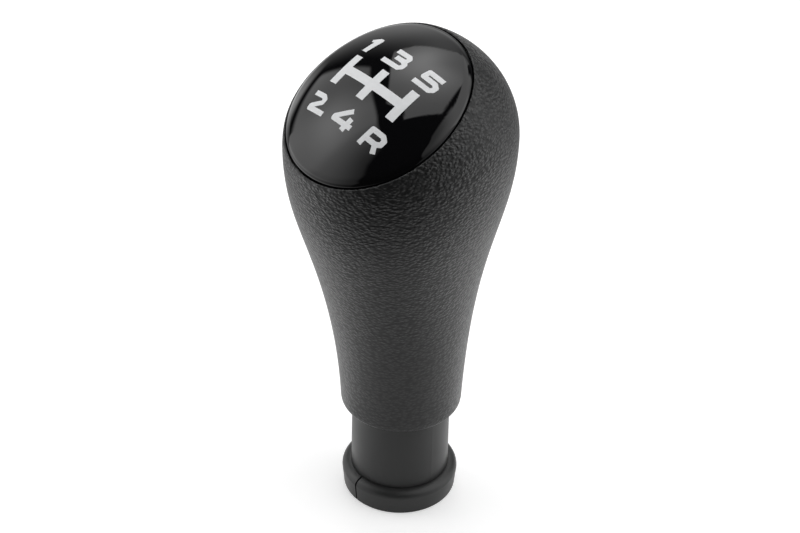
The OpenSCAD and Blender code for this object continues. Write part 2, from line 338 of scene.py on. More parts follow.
def grip_foot(n):
    """Rings round the rounded lower edge of the grip."""
    rings = []
    for t in np.linspace(0, math.pi / 2, EDGE_RINGS + 1):
        r = NECK_D / 2 - NECK_ROUND * (1 - math.sin(t))
        rings.append(circle_ring(r, GRIP_Z + NECK_ROUND * (1 - math.cos(t)), n))
    return rings


def grip_rings():
    """Rings from the lower edge, up the skin, over the lip and down along the core."""
    n = GRIP_AROUND
    a = angles(n)
    low_z = GRIP_Z + NECK_ROUND
    lip_low = skin_point(a, rim_z(a, -LIP_ROUND))
    shares = np.arange(1, GRIP_RINGS + 1) / GRIP_RINGS
    side = [skin_point(a, low_z + (lip_low[:, 2] - low_z) * s) for s in shares]
    outline = rim_outline(n)
    corner = from_cap(outline, 0)
    lip_top = from_cap(inset(outline, LIP_ROUND), 0)
    steps = np.arange(1, EDGE_RINGS + 1) / EDGE_RINGS
    lip = [bezier2(lip_low, corner, lip_top, t) for t in steps]
    wall = inset(outline, LIP_W)
    inner = [from_cap(wall, 0), from_cap(wall, -CAP_RIM), from_cap(wall, -CAP_RIM - HEAD_PLATE)]
    flat_side = 1 / math.cos(math.pi / n)
    trunk = [circle_ring(r * flat_side, z, n) for r, z in reversed(trunk_profile())]
    return grip_foot(n) + side + lip + inner + trunk


def dome_skin():
    """Rings of the cap's outer skin, from the rim up over the rounded edge to the top."""
    start = on_dome(EDGE_Q, 0)
    corner = on_dome(1, 0)
    end = on_dome(1, CAP_ROUND)
    steps = np.arange(EDGE_RINGS, 0, -1) / EDGE_RINGS
    edge = [bezier2(start, corner, end, t) for t in steps]
    dome = [on_dome(q, 0) for q in dome_shares(DOME_RINGS)[::-1]]
    return [at_height(CAP_LINE, -CAP_RIM)] + edge + dome


def cap_rings():
    """Rings from the middle of the cap's hollow, out and down its wall, then over its skin."""
    inner = inset(CAP_LINE, CAP_WALL)
    hollow = [on_dome(q, CAP_WALL) for q in dome_shares(HOLLOW_RINGS, ROOF_Q)]
    wall = [at_height(inner, CAP_STEP - CAP_WALL), at_height(inner, -CAP_RIM)]
    return hollow + wall + dome_skin()


def stud_rings(x, y):
    stud = circle_ring(STUD_D / 2, 0, BEND_SIDES)[:, :2] + [x, y]
    return [at_height(stud, -CAP_RIM - STUD_L), at_height(stud, CAP_WALL)]


def joined(parts):
    """One list of points and faces from several."""
    verts, faces, start = [], [], 0
    for part_verts, part_faces in parts:
        verts.append(part_verts)
        faces += [tuple(start + v for v in f) for f in part_faces]
        start += len(part_verts)
    return np.concatenate(verts), faces


def make_grip():
    obj = make_object("grip_skin", *closed_loft(grip_rings()), "soft_skin")
    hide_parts("grip")
    return obj


def make_cap():
    low, high = at_centre(DOME_RISE - CAP_WALL), at_centre(DOME_RISE)
    parts = [capped_loft(cap_rings(), low, high)]
    for x in (-1, 1):
        for y in (-1, 1):
            rings = stud_rings(x * STUD_X / 2, CAP_CENTRE[1] + y * STUD_Y / 2)
            parts.append(capped_loft(rings, rings[0].mean(0), rings[1].mean(0)))
    obj = make_object("gloss_cap", *joined(parts), "gloss_black", CAP_FRAME)
    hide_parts("cap")
    return obj


# Shift pattern


def line_outline(a, b, w):
    """The four corners of a straight bar of width w from a to b."""
    a, b = np.array(a, float), np.array(b, float)
    run = (b - a) / np.linalg.norm(b - a)
    side = w / 2 * np.array([-run[1], run[0]])
    return [a + side, a - side, b - side, b + side]


def bend_outline(p, w):
    return [np.array(p) + w / 2 * np.array([math.cos(t), math.sin(t)]) for t in angles(BEND_SIDES)]


def stroke(points, w=STROKE_W):
    """Outlines of a pen stroke: straight bars, with a disc at each bend."""
    bars = [line_outline(a, b, w) for a, b in zip(points, points[1:])]
    return bars + [bend_outline(p, w) for p in points[1:-1]]


# The numbers, each drawn from its own middle: ONE as an outline, the others as pen strokes
ONE = [
    [(-1.2, -2.3), (0.25, -2.3), (1.15, 1.8), (0.9, 2.3)]
    + [(0, 2.3), (-1.75, 1.2), (-1.5, 0.6), (-0.7, 0.6)]
]
TWO = stroke(
    [(-2, 1.7), (1, 1.7), (1.8, 1.15), (1.75, 0.35)]
    + [(-0.8, -1.2), (-0.8, -1.7), (3.9, -1.7)]
)
THREE = stroke([(-2.4, 1.72), (1.1, 1.72), (1.6, 1.3), (1.5, 0.65), (1, 0.2), (-1.35, 0.2)])
THREE += stroke([(0.9, 0.2), (1.9, -0.35), (1.9, -1.05), (1.2, -1.72), (-3.6, -1.72)])
FOUR = stroke([(1.45, 2.25), (-1.85, -0.55), (-1.85, -0.95), (3.4, -0.95)])
FOUR += stroke([(2.2, 0.75), (1.7, -2.3)], STEM_W)
FIVE = stroke(
    [(2.15, 1.65), (-1.65, 1.65), (-1.9, 0.15), (1.2, 0.15)]
    + [(2, -0.45), (1.95, -1.15), (1.3, -1.77), (-2.9, -1.77)]
)
REVERSE = stroke(
    [(-1.9, -2.3), (-1.2, 1.72), (1.6, 1.72), (2.35, 1.1)]
    + [(2.2, 0.1), (1.3, -0.5), (-1.4, -0.5)]
)
REVERSE += stroke([(1.1, -0.5), (1.9, -2.3)])

# Each number with its gate's column and its row
NUMBERS = [
    (ONE, -1, FRONT_ROW_Y),
    (THREE, 0, FRONT_ROW_Y),
    (FIVE, 1, FRONT_ROW_Y),
    (TWO, -1, -REAR_ROW_Y),
    (FOUR, 0, -REAR_ROW_Y),
    (REVERSE, 1, -REAR_ROW_Y),
]


def gate_outlines():
    low, high = GATE_Y - GATE_L / 2, GATE_Y + GATE_L / 2
    bars = [line_outline((x, low), (x, high), GATE_W) for x in (-GATE_PITCH, 0, GATE_PITCH)]
    return bars + [line_outline((-GATE_PITCH, GATE_Y), (GATE_PITCH, GATE_Y), GATE_W)]


def prism(outline, offset=(0, 0)):
    """A prism through the dome, square to the cap's plane, on an outline placed from its centre."""
    flat = np.array(outline, float) + CAP_CENTRE + np.array(offset)
    n = len(flat)
    low, high = at_height(flat, -CAP_RIM), at_height(flat, DOME_RISE + PRISM_OVER)
    faces = side_faces(2, n) + [tuple(range(n - 1, -1, -1)), tuple(range(n, 2 * n))]
    return np.concatenate([low, high]), faces


def scratch_object(name, verts, faces):
    """An object in the cap's own frame and in millimetres, where booleans meet round numbers."""
    mesh = bpy.data.meshes.new(name)
    mesh.from_pydata(np.asarray(verts).tolist(), [], faces)
    mesh.update()
    return link_object(name, mesh)


def combine(base, other, operation):
    """Replaces base's mesh by its boolean with other, which is then deleted."""
    mod = base.modifiers.new("combine", "BOOLEAN")
    mod.object = other
    mod.operation = operation
    mod.solver = "EXACT"
    evaluated = base.evaluated_get(bpy.context.evaluated_depsgraph_get())
    mesh = bpy.data.meshes.new_from_object(evaluated)
    base.modifiers.clear()
    base.data = mesh
    bpy.data.objects.remove(other)


def print_layer():
    """A closed layer that follows the dome, from just above its skin down to the inlay's depth."""
    shares = dome_shares(PRINT_RINGS)
    under = [on_dome(q, INLAY_D) for q in shares]
    over = [on_dome(q, -PRINT_PROUD) for q in shares[::-1]]
    low, high = at_centre(DOME_RISE - INLAY_D), at_centre(DOME_RISE + PRINT_PROUD)
    return scratch_object("layer", *capped_loft(under + over, low, high))


def make_mark(name, outlines, offset, node):
    base = scratch_object(name, *prism(outlines[0], offset))
    for outline in outlines[1:]:
        combine(base, scratch_object("cutter", *prism(outline, offset)), "UNION")
    combine(base, print_layer(), "INTERSECT")
    mesh = base.data
    bpy.data.objects.remove(base)
    mesh.transform(CAP_FRAME)
    obj = finish_object(name, mesh)
    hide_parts(node)
    return obj


def make_marks():
    marks = [make_mark("gate_print", gate_outlines(), (0, 0), "gate_lines")]
    for i, (outlines, column, row_y) in enumerate(NUMBERS):
        offset = (column * GATE_PITCH, row_y)
        marks.append(make_mark(f"number_print_{i + 1}", outlines, offset, "gear_numbers"))
    return marks


# Gaiter ring and threaded insert


def arc(centre, rx, ry, start, end, n):
    """Points along an ellipse's arc in n steps, between two angles in degrees."""
    t = np.radians(np.linspace(start, end, n + 1))
    return [(centre[0] + rx * math.cos(u), centre[1] + ry * math.sin(u)) for u in t]


def ring_profile():
    """The ring's section as radius and height, anticlockwise from the bore's lower edge."""
    bore = SPIGOT_D / 2 + RING_GAP
    seat = COLLAR_D / 2 + RING_GAP
    step = RING_H - RING_SEAT
    foot = arc((RING_FOOT_D / 2 - RING_EDGE, RING_EDGE), RING_EDGE, RING_EDGE, -90, 0, EDGE_RINGS)
    width, height = RING_D / 2 - seat, RING_H - RING_BELLY_Z
    shoulder = arc((seat, RING_BELLY_Z), width, height, 0, 90, SHOULDER_RINGS)
    return [(bore, 0)] + foot + shoulder + [(seat, step), (bore, step)]


def make_ring():
    """The open ring: one section swept from one side of the split at -Y round to the other."""
    profile = np.array(ring_profile())
    n = len(profile)
    r = profile[:, 0]
    half_gap = np.arcsin(SPLIT_W / 2 / r)
    sections = []
    for t in np.linspace(0, 1, RING_AROUND + 1):
        a = -math.pi / 2 + half_gap + t * (2 * math.pi - 2 * half_gap)
        sections.append(np.stack([r * np.cos(a), r * np.sin(a), profile[:, 1]], -1))
    faces = [f[::-1] for f in side_faces(len(sections), n)]
    last = (len(sections) - 1) * n
    faces += [tuple(range(n)), tuple(last + i for i in range(n - 1, -1, -1))]
    obj = make_object("split_ring", np.concatenate(sections), faces, "ring_plastic")
    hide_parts("gaiter_ring")
    return obj


def hexagon_radius(a):
    """Radius of the insert's hexagon at an angle, with its corners on the X axis."""
    return INSERT_AF / 2 / np.cos((a % (math.pi / 3)) - math.pi / 6)


def thread_radius(a, z):
    """Radius of the right-handed thread inside the insert, with flattened crests and roots."""
    phase = ((z - INSERT_Z) / THREAD_PITCH - a / (2 * math.pi)) % 1
    flank = (1 + 2 * THREAD_FLAT) * (1 - np.abs(2 * phase - 1)) - THREAD_FLAT
    height = np.clip(flank, 0, 1)
    lead = np.clip(1 - (z - INSERT_Z) / THREAD_LEAD, 0, 1)
    cut = THREAD_MINOR_D / 2 + (THREAD_D - THREAD_MINOR_D) / 2 * height
    return np.maximum(cut, THREAD_MINOR_D / 2 + THREAD_LEAD * lead)


def make_insert():
    """A hexagon bush with a groove round its middle, threaded from end to end."""
    n = THREAD_AROUND
    a = angles(n)
    steps = int(INSERT_L / THREAD_PITCH * THREAD_STEPS_A_TURN)
    top = INSERT_Z + INSERT_L
    heights = np.linspace(top, INSERT_Z, steps + 1)
    inside = [circle_ring(thread_radius(a, z), z, n) for z in heights]
    hexagon = hexagon_radius(a)
    groove = np.minimum(hexagon, INSERT_AF / 2 / math.cos(math.pi / 6) - INSERT_GROOVE_D)
    low = INSERT_Z + (INSERT_L - INSERT_GROOVE_W) / 2
    high = low + INSERT_GROOVE_W
    outline = [(hexagon, INSERT_Z), (hexagon, low), (groove, low)]
    outline += [(groove, high), (hexagon, high), (hexagon, top)]
    outside = [circle_ring(r, z, n) for r, z in outline]
    obj = make_object("threaded_insert", *closed_loft(inside + outside), "insert_metal")
    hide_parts("lever_insert")
    return obj


# Materials

# A noise is given by its cells a metre, its octaves and their roughness; most of its values
# lie within COMMON. A SWAY is a range of such values and the two values that it turns into.
COMMON = (0.3, 0.7)

# Skin: warped pebbles in creases, counted in cells a metre; WARP_NOISE and FINE_NOISE are
# counted in cells a pebble, and GRAIN_FADE lets the grain grow from the neck to the head.
SKIN_DARK = (0.0115, 0.012, 0.0125)
SKIN_LIGHT = (0.0155, 0.016, 0.016)
SKIN_CLOUDS = (60.0, 2.0, 0.5)
SKIN_ROUGHNESS = 0.35
SKIN_SPECULAR = 0.48
GRAIN_CELLS = 1150.0
GRAIN_STRETCH = 1.5
GRAIN_DEPTH = 0.15 * MM
GRAIN_FADE = (40 * MM, 100 * MM, 0.3, 1.1)
WARP_NOISE = (0.6, 2.0, 0.5)
WARP = (1.1, 1.1, 1.1)
FINE_NOISE = (2.6, 3.0, 0.6)
FINE_SHARE = 0.3
PEBBLE_MELT = 0.2
PEBBLE_EDGE = (0.1, 0.75)
# PEBBLE_SHINE and PAINTED_CREASE_SHADE set the specular level on the pebbles and in the creases;
# the lower level in the creases is painted shade.
PEBBLE_SHINE = 1.25
CREASE_ROUGHNESS = 0.4
PEBBLE_ROUGHNESS = 0.28
PAINTED_CREASE_SHADE = 0.35

# Matte plastics: each LOOK is a colour, its texture's cells a metre and the texture's depth;
# PLASTIC_TEXTURE is the octaves and roughness that both textures have.
RING_LOOK = ((0.019, 0.0195, 0.0195), 4000.0, 0.006 * MM)
CORE_LOOK = ((0.0145, 0.015, 0.015), 5000.0, 0.005 * MM)
PLASTIC_ROUGHNESS = 0.4
PLASTIC_SPREAD = 0.05
PLASTIC_TEXTURE = (4.0, 0.6)
PLASTIC_CLOUDS = (90.0, 3.0, 0.5)
PLASTIC_LIGHTER = 1.25

# Gloss, print and brass
GLOSS_COLOR = (0.003, 0.003, 0.0035)
GLOSS_ROUGHNESS = 0.035
GLOSS_FLOW = (160.0, 1.0, 0.5)
GLOSS_FLOW_DEPTH = 0.0015 * MM
GLOSS_SMEAR = (70.0, 3.0, 0.5)
GLOSS_SMEAR_SWAY = (0.35, 0.75, 0.008, 0.025)
SILVER = (0.77, 0.78, 0.79)
SILVER_DARK = (0.7, 0.71, 0.72)
SILVER_LIGHT = (0.83, 0.84, 0.85)
SILVER_ROUGHNESS = 0.4
INK_NOISE = (900.0, 3.0, 0.5)
INK_DEPTH = 0.004 * MM
BRASS = (0.72, 0.55, 0.28)
BRASS_ROUGHNESS = 0.32
BRASS_SWAY = (*COMMON, 0.25, 0.4)
LATHE_CELLS = (200, 200, 6000)
LATHE_NOISE = (1.0, 2.0, 0.5)
LATHE_DEPTH = 0.01 * MM


def principled(mat):
    return mat.node_tree.nodes["Principled BSDF"]


def new_material(name, color, roughness, **sockets):
    """A Principled material; each further value is set on the shader's own socket."""
    mat = bpy.data.materials.new(name)
    mat.use_nodes = True
    inputs = principled(mat).inputs
    inputs["Base Color"].default_value = (*color, 1)
    inputs["Roughness"].default_value = roughness
    for socket, value in sockets.items():
        inputs[socket.replace("_", " ")].default_value = value
    return mat


def add_node(mat, kind, **values):
    """A node whose inputs, or properties, are set by name."""
    node = mat.node_tree.nodes.new(kind)
    for key, value in values.items():
        if key in node.inputs:
            node.inputs[key].default_value = value
        else:
            setattr(node, key, value)
    return node


def link(mat, source, target):
    mat.node_tree.links.new(source, target)


def object_coordinates(mat, scale=(1, 1, 1)):
    """Object coordinates in metres, times a scale for each axis."""
    coords = add_node(mat, "ShaderNodeTexCoord")
    mapping = add_node(mat, "ShaderNodeMapping", Scale=scale)
    link(mat, coords.outputs["Object"], mapping.inputs["Vector"])
    return mapping.outputs["Vector"]


def noise(mat, vector, cells, octaves, rough):
    node = add_node(mat, "ShaderNodeTexNoise", Scale=cells, Detail=octaves, Roughness=rough)
    link(mat, vector, node.inputs["Vector"])
    return node


def noise_value(mat, vector, cells, octaves, rough):
    return noise(mat, vector, cells, octaves, rough).outputs["Fac"]


def math_node(mat, operation, a, b):
    node = add_node(mat, "ShaderNodeMath", operation=operation)
    for socket, value in zip(node.inputs, (a, b)):
        if isinstance(value, (int, float)):
            socket.default_value = value
        else:
            link(mat, value, socket)
    return node.outputs[0]


def map_range(mat, value, from_min, from_max, to_min, to_max):
    node = add_node(mat, "ShaderNodeMapRange")
    for socket, number in zip(node.inputs[1:5], (from_min, from_max, to_min, to_max)):
        socket.default_value = number
    link(mat, value, node.inputs[0])
    return node.outputs[0]


def add_bump(mat, height, depth):
    """Bump of a height map from 0 to 1, depth metres deep."""
    bump = add_node(mat, "ShaderNodeBump", Distance=depth)
    link(mat, height, bump.inputs["Height"])
    link(mat, bump.outputs["Normal"], principled(mat).inputs["Normal"])


def drive(mat, socket, value):
    link(mat, value, principled(mat).inputs[socket])


def drive_color(mat, factor, dark, light):
    """Base colour from dark to light, as the factor goes from 0 to 1."""
    mix = add_node(mat, "ShaderNodeMix", data_type="RGBA")
    mix.inputs[6].default_value = (*dark, 1)
    mix.inputs[7].default_value = (*light, 1)
    link(mat, factor, mix.inputs[0])
    drive(mat, "Base Color", mix.outputs[2])


def pebbles(mat, coords):
    """1 on top of each pebble and 0 in the creases between them."""
    warped = add_node(mat, "ShaderNodeVectorMath", operation="MULTIPLY_ADD")
    warped.inputs[1].default_value = WARP
    link(mat, noise(mat, coords, *WARP_NOISE).outputs["Color"], warped.inputs[0])
    link(mat, coords, warped.inputs[2])
    cells = add_node(mat, "ShaderNodeTexVoronoi", feature="SMOOTH_F1")
    cells.inputs["Scale"].default_value = 1.0
    cells.inputs["Smoothness"].default_value = PEBBLE_MELT
    link(mat, warped.outputs[0], cells.inputs["Vector"])
    return map_range(mat, cells.outputs["Distance"], *PEBBLE_EDGE, 1, 0)


def skin_shine_and_painted_shade(mat, pebble, depth):
    """Specular level: strong on the pebbles, and weaker in the creases where the grain is deep,
    which paints shade into the creases.
    """
    painted_crease_shade = math_node(mat, "SUBTRACT", 1.0, math_node(mat, "MULTIPLY", depth, PAINTED_CREASE_SHADE))
    shine_and_painted_shade = add_node(mat, "ShaderNodeMix", data_type="FLOAT")
    link(mat, pebble, shine_and_painted_shade.inputs[0])
    link(mat, painted_crease_shade, shine_and_painted_shade.inputs[2])
    shine_and_painted_shade.inputs[3].default_value = PEBBLE_SHINE
    return math_node(mat, "MULTIPLY", shine_and_painted_shade.outputs[0], SKIN_SPECULAR)


def skin_material():
    """Soft charcoal skin: pebbles in fine creases, longer round the knob than they are high."""
    mat = new_material("soft_skin", SKIN_LIGHT, SKIN_ROUGHNESS)
    scale = (GRAIN_CELLS, GRAIN_CELLS, GRAIN_CELLS * GRAIN_STRETCH)
    coords = object_coordinates(mat, scale)
    pebble = pebbles(mat, coords)
    height = math_node(mat, "MULTIPLY_ADD", noise_value(mat, coords, *FINE_NOISE), FINE_SHARE)
    link(mat, pebble, height.node.inputs[2])
    place = add_node(mat, "ShaderNodeSeparateXYZ")
    link(mat, object_coordinates(mat), place.inputs[0])
    depth = map_range(mat, place.outputs["Z"], *GRAIN_FADE)
    add_bump(mat, math_node(mat, "MULTIPLY", height, depth), GRAIN_DEPTH)
    clouds = noise_value(mat, object_coordinates(mat), *SKIN_CLOUDS)
    drive_color(mat, clouds, SKIN_DARK, SKIN_LIGHT)
    roughness = map_range(mat, pebble, 0, 1, CREASE_ROUGHNESS, PEBBLE_ROUGHNESS)
    drive(mat, "Roughness", roughness)
    # The specular level carries painted shade in the creases.
    drive(mat, "Specular IOR Level", skin_shine_and_painted_shade(mat, pebble, depth))
    return mat


def plastic_material(name, color, cells, depth):
    """Matte moulded plastic with a fine spark-eroded texture."""
    mat = new_material(name, color, PLASTIC_ROUGHNESS)
    coords = object_coordinates(mat)
    add_bump(mat, noise_value(mat, coords, cells, *PLASTIC_TEXTURE), depth)
    clouds = noise_value(mat, coords, *PLASTIC_CLOUDS)
    low, high = PLASTIC_ROUGHNESS - PLASTIC_SPREAD, PLASTIC_ROUGHNESS + PLASTIC_SPREAD
    drive(mat, "Roughness", map_range(mat, clouds, *COMMON, low, high))
    drive_color(mat, clouds, color, tuple(PLASTIC_LIGHTER * c for c in color))
    return mat


def gloss_material():
    """Piano black: nearly black plastic, with a trace of flow and smear in its polish."""
    mat = new_material("gloss_black", GLOSS_COLOR, GLOSS_ROUGHNESS)
    add_bump(mat, noise_value(mat, object_coordinates(mat), *GLOSS_FLOW), GLOSS_FLOW_DEPTH)
    smear = noise_value(mat, object_coordinates(mat), *GLOSS_SMEAR)
    drive(mat, "Roughness", map_range(mat, smear, *GLOSS_SMEAR_SWAY))
    return mat


def mark_material():
    """Silver-white print with a little unevenness in its ink."""
    mat = new_material("mark_silver", SILVER, SILVER_ROUGHNESS)
    ink = noise_value(mat, object_coordinates(mat), *INK_NOISE)
    drive_color(mat, ink, SILVER_DARK, SILVER_LIGHT)
    add_bump(mat, ink, INK_DEPTH)
    return mat


def metal_material():
    """Plain turned brass for the hidden insert."""
    mat = new_material("insert_metal", BRASS, BRASS_ROUGHNESS, Metallic=1.0)
    lathe = noise_value(mat, object_coordinates(mat, LATHE_CELLS), *LATHE_NOISE)
    add_bump(mat, lathe, LATHE_DEPTH)
    drive(mat, "Roughness", map_range(mat, lathe, *BRASS_SWAY))
    return mat


def assign(obj, mat):
    obj.data.materials.clear()
    obj.data.materials.append(mat)


# Studio

# A tent of soft light round the knob, as the cap's reflections show it. Angles are in degrees;
# azimuths run from the camera's side, positive to its right, and elevations from the cap's height.
TENT_RADIUS = 2.5
TENT_HEIGHT = 0.1
TENT_STEP = 1.0
TENT_LOWEST = -2
ZENITH = 90
ROOM_LIGHT = 0.01
AZIMUTHS = np.arange(-180, 180, TENT_STEP)

FLOOR_LOWEST = -40
FLOOR_RADIUS = 3.0
FLOOR_GLOW = 0.42
FLOOR_COLOR = (0.82, 0.82, 0.82)
FLOOR_FAR_COLOR = (0.02, 0.02, 0.02)
FLOOR_ROUGHNESS = 0.9
FLOOR_NEAR = (0.08, 0.17)
FLOOR_BEHIND = (40, 110)
FLOOR_BEHIND_MIDDLE = 0.5

# The lamps. Each has a strength, its edges' places, and pairs between which it rises or falls.
# SHARE says how much of the light a fall takes away, SOFT how wide an edge is, and LEAN how far
# an edge moves for each degree. A HOT or DARK pair is a middle and a width. The overhead light
# is laid out on the plane of overhead_plane, where a RIGHT pair is a place and a slope.
LEFT_LIGHT = 1.55
LEFT_REAR = -147
LEFT_REAR_SOFT = 3
LEFT_REAR_LEAN = 0.12
LEFT_REAR_BEND = 10
LEFT_FRONT = -52
LEFT_FRONT_SOFT = 6
LEFT_FRONT_LEAN = 0.5
LEFT_FRONT_TOP = 44
LEFT_FRONT_RUN = 40
LEFT_TOP = 61
LEFT_TOP_SOFT = 2
LEFT_TOP_DROP = 22
LEFT_TOP_BEND = -90
LEFT_TOP_RUN = 55
LEFT_CORNER = -120
LEFT_LEDGE = (8, 11)
LEFT_FOOT = (4, 22)
LEFT_FOOT_SHARE = 0.6
LEFT_MIDDLE = (-92, -82)
LEFT_MIDDLE_SHARE = 0.25
LEFT_FADE_START = -88
LEFT_FADE_SHARE = 0.8
LEFT_BACK = (110, 132)
LEFT_BACK_SHARE = 0.35
LEFT_HOT_SPOT = 1.1
LEFT_HOT_AZIMUTH = (-104, 18)
LEFT_HOT_ELEVATION = (36, 13)

RIGHT_LIGHT = 1.5
RIGHT_FRONT = 36
RIGHT_FRONT_SOFT = 2
RIGHT_FRONT_LEAN = 0.5
RIGHT_FULL = 76
RIGHT_FRONT_SHARE = 0.7
RIGHT_LEAN_START = 45
RIGHT_LEAN = 0.185
RIGHT_LEAN_NEAR, RIGHT_LEAN_FAR = 0.5, 0.2
RIGHT_LOW_END = (122, 128)
RIGHT_LOW_TOP = (38, 44)
RIGHT_END = (150, 165)
RIGHT_FOOT = (-10, 40)
RIGHT_FOOT_SHARE = 0.65

SIDE_LIGHT = 1.75
SIDE_FRONT = 80
SIDE_FRONT_SOFT = 4
SIDE_FRONT_LEAN = 0.8
SIDE_END = (98, 124)
SIDE_FOOT = (-18, -4)
SIDE_TOP = (22, 40)

BACK_LIGHT = 1.6
BACK_LEFT = (-52, 5)
BACK_RIGHT = (-5, 34)
BACK_FOOT = (-28, 4)
BACK_UPPER = (18, 42)
BACK_UPPER_SHARE = 0.5
BACK_TOP = (50, 56)
BACK_DARK = (0, 14)
BACK_DARK_END = (-4, 12)
BACK_DARK_SHARE = 0.9

OVERHEAD_LIGHT = 1.35
OVERHEAD_LOWEST = 1
OVERHEAD_EDGE = 0.02
OVERHEAD_LEFT = -0.27
OVERHEAD_LEFT_FLARE = 0.2
OVERHEAD_LEFT_RUN = (-0.02, 0.2)
OVERHEAD_BEND = 0.2
OVERHEAD_RIGHT_NEAR = (0.14, 0.4)
OVERHEAD_RIGHT_FAR = (0.22, 0.9)
OVERHEAD_FRONT = (-0.12, -0.1)
OVERHEAD_BACK = 1.08
OVERHEAD_BACK_EDGE = 0.04
OVERHEAD_BACK_RUN = (-0.3, 0.22)
OVERHEAD_BACK_DROP = 0.3
OVERHEAD_BACK_BEND = 0.25
OVERHEAD_BACK_FLARE = 0.8
OVERHEAD_FAR = (0.75, 1.1)
OVERHEAD_FAR_SHARE = 0.35
RIDGE_LIGHT = 1.85
RIDGE_START = (-0.1, 0.5)
RIDGE_PLACE = 0.04
RIDGE_SHIFT = 0.19
RIDGE_BEND = (0.2, 0.6)
RIDGE_WIDTHS = (0.28, 0.2)
RIDGE_END = (0.6, 0.9)
RIDGE_END_SHARE = 0.35

TABLE_LIGHT = 1.7
TABLE_REAR = -139
TABLE_REAR_LEAN = 0.7
TABLE_REAR_WIDTH = 12
TABLE_REAR_TOP = (-7, -3)
TABLE_NEAR = (0, 30)
TABLE_REAR_SHARE = 0.8
TABLE_SIDE = (-120, -117)
TABLE_SIDE_LIGHT = 0.6
TABLE_FADE_START = -80
TABLE_FRONT = -57
TABLE_FRONT_LEAN = 0.35
TABLE_FRONT_TOP = 40
TABLE_TOP = (-14, -4)


def studio_direction(azimuth, elevation):
    """A direction from the knob, with the azimuth measured in degrees from the camera's side."""
    a, e = CAMERA_AZIMUTH + math.radians(azimuth), math.radians(elevation)
    return Vector((math.sin(a) * math.cos(e), -math.cos(a) * math.cos(e), math.sin(e)))


def rise(x, start, end):
    return smooth((x - start) / (end - start))


def fall(x, start, end, share=1):
    """From 1 at the start down to 1 less the share at the end."""
    return 1 - share * rise(x, start, end)


def hump(x, middle, width):
    return np.exp(-(((x - middle) / width) ** 2))


def line(x, place, slope):
    return place + slope * x


def beyond(x):
    """How far x is above 0."""
    return np.clip(x, 0, None)


def left_glow(a, e):
    """The left softbox: a hot spot in its rear half, and a fade to its front edge."""
    top = LEFT_TOP - LEFT_TOP_DROP * (beyond(LEFT_TOP_BEND - a) / LEFT_TOP_RUN) ** 2
    front = LEFT_FRONT + LEFT_FRONT_LEAN * np.clip(LEFT_FRONT_TOP - e, 0, LEFT_FRONT_RUN)
    rear = LEFT_REAR + LEFT_REAR_LEAN * beyond(e - LEFT_REAR_BEND)
    shape = rise(a, rear, rear + LEFT_REAR_SOFT) * fall(a, front - LEFT_FRONT_SOFT, front)
    shape = shape * fall(e, top - LEFT_TOP_SOFT, top)
    foot = fall(-e, *LEFT_FOOT, LEFT_FOOT_SHARE)
    shape = shape * np.where(a < LEFT_CORNER, rise(e, *LEFT_LEDGE), foot)
    across = fall(a, *LEFT_MIDDLE, LEFT_MIDDLE_SHARE)
    across = across * fall(a, LEFT_FADE_START, front, LEFT_FADE_SHARE)
    across = across * fall(-a, *LEFT_BACK, LEFT_BACK_SHARE)
    hot_spot = LEFT_HOT_SPOT * hump(a, *LEFT_HOT_AZIMUTH) * hump(e, *LEFT_HOT_ELEVATION)
    return shape * (LEFT_LIGHT * across + hot_spot)


def right_glow(a, e):
    """The broad panel to the right: it leans over the knob and fades to its front edge."""
    right, back = overhead_plane(a, e)
    edge = RIGHT_LEAN + back * np.where(back < 0, RIGHT_LEAN_NEAR, RIGHT_LEAN_FAR)
    shape = np.where(e > RIGHT_LEAN_START, rise(right, edge, edge + OVERHEAD_EDGE), 1)
    front = RIGHT_FRONT - RIGHT_FRONT_LEAN * beyond(e)
    low_end = 1 - rise(a, *RIGHT_LOW_END) * fall(e, *RIGHT_LOW_TOP)
    shape = shape * rise(a, front, front + RIGHT_FRONT_SOFT) * low_end * fall(a, *RIGHT_END)
    across = 1 - RIGHT_FRONT_SHARE + RIGHT_FRONT_SHARE * rise(a, front, RIGHT_FULL)
    along = 1 - RIGHT_FOOT_SHARE + RIGHT_FOOT_SHARE * rise(e, *RIGHT_FOOT)
    return RIGHT_LIGHT * shape * across * along


def side_glow(a, e):
    """The narrow light at the right-hand side, down to the table."""
    front = SIDE_FRONT - SIDE_FRONT_LEAN * e
    across = rise(a, front, front + SIDE_FRONT_SOFT) * fall(a, *SIDE_END)
    return SIDE_LIGHT * across * rise(e, *SIDE_FOOT) * fall(e, *SIDE_TOP)


def back_glow(a, e):
    """The backdrop's light behind the knob: it fades to both sides and to its top."""
    behind = (a + 360) % 360 - 180
    across = rise(behind, *BACK_LEFT) * fall(behind, *BACK_RIGHT)
    dark = BACK_DARK_SHARE * hump(e, *BACK_DARK) * fall(behind, *BACK_DARK_END)
    along = rise(e, *BACK_FOOT) * (1 - dark) * fall(e, *BACK_UPPER, BACK_UPPER_SHARE)
    return BACK_LIGHT * across * along * fall(e, *BACK_TOP)


def overhead_plane(a, e):
    """Where a direction meets a level plane one unit up: to the right and back of the camera."""
    reach = 1 / np.tan(np.radians(np.clip(e, OVERHEAD_LOWEST, ZENITH)))
    return reach * np.sin(np.radians(a)), -reach * np.cos(np.radians(a))


